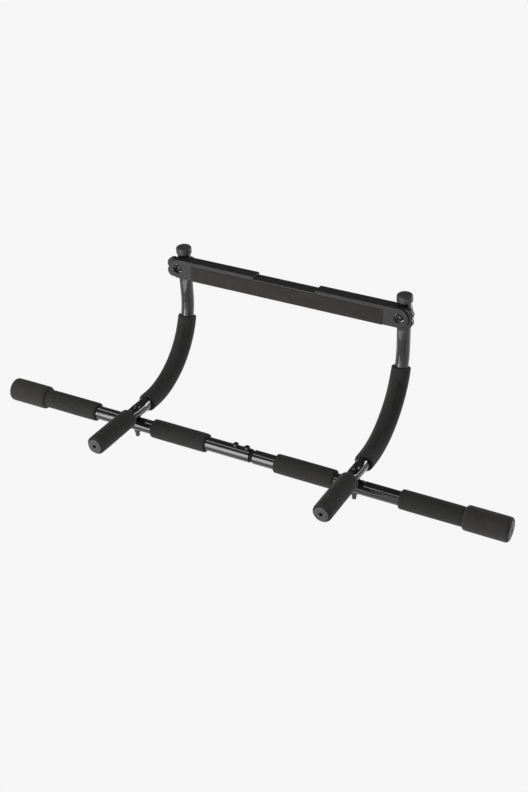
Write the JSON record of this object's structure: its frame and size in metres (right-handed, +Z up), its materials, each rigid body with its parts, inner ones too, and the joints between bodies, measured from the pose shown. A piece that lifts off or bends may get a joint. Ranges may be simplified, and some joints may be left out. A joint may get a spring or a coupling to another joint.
{
  "type": "doorway pull up bar",
  "caption": "Doorway pull up bar with foam grips, J-shaped arms that reach through the doorway and a padded beam that rests above the door trim.",
  "frame": {"origin": "centre of the wall pad's face, where the beam presses on the wall above the door", "axes": "+X along the long bar, -Y out of the wall pad's face towards the user, +Z up"},
  "size_m": [0.97, 0.3435, 0.3033],
  "materials": {
    "black_tube": "gloss black powder coat on steel tube",
    "black_hardware": "black oxide, semi gloss",
    "zinc_hardware": "zinc plated steel",
    "grip_foam": "matt black closed-cell foam with a fine leathery skin",
    "bumper_foam": "matt black dense closed-cell foam",
    "beam_plastic": "satin dark grey moulded plastic with a fine texture",
    "wall_pad": "matt black rubber foam strip",
    "grey_plug": "satin mid grey moulded plastic"
  },
  "bodies": {
    "root": {"bar_left_tube": "black_tube", "bar_right_tube": "black_tube", "joint_screws": "black_hardware", "joint_nuts": "black_hardware", "bar_plug_left": "grey_plug", "bar_plug_right": "grey_plug", "bumper_left": "bumper_foam", "bumper_right": "bumper_foam", "outer_grip_left": "grip_foam", "outer_grip_right": "grip_foam", "inner_grip_left": "grip_foam", "inner_grip_right": "grip_foam", "arm_left": "black_tube", "arm_right": "black_tube", "arm_foam_left": "grip_foam", "arm_foam_right": "grip_foam", "handle_grip_left": "grip_foam", "handle_grip_right": "grip_foam", "handle_plug_left": "grey_plug", "handle_plug_right": "grey_plug", "top_cap_left": "beam_plastic", "top_cap_right": "beam_plastic", "cross_bolts": "black_hardware", "cross_washers": "black_hardware", "cross_bushings": "black_hardware", "beam_core": "zinc_hardware", "beam_shell_left": "beam_plastic", "beam_shell_right": "beam_plastic", "beam_shell_middle": "beam_plastic", "beam_pad": "wall_pad", "beam_bolts": "black_hardware", "beam_saddle_washers": "black_hardware", "beam_cap_nuts": "black_hardware"}
  },
  "joints": []
}
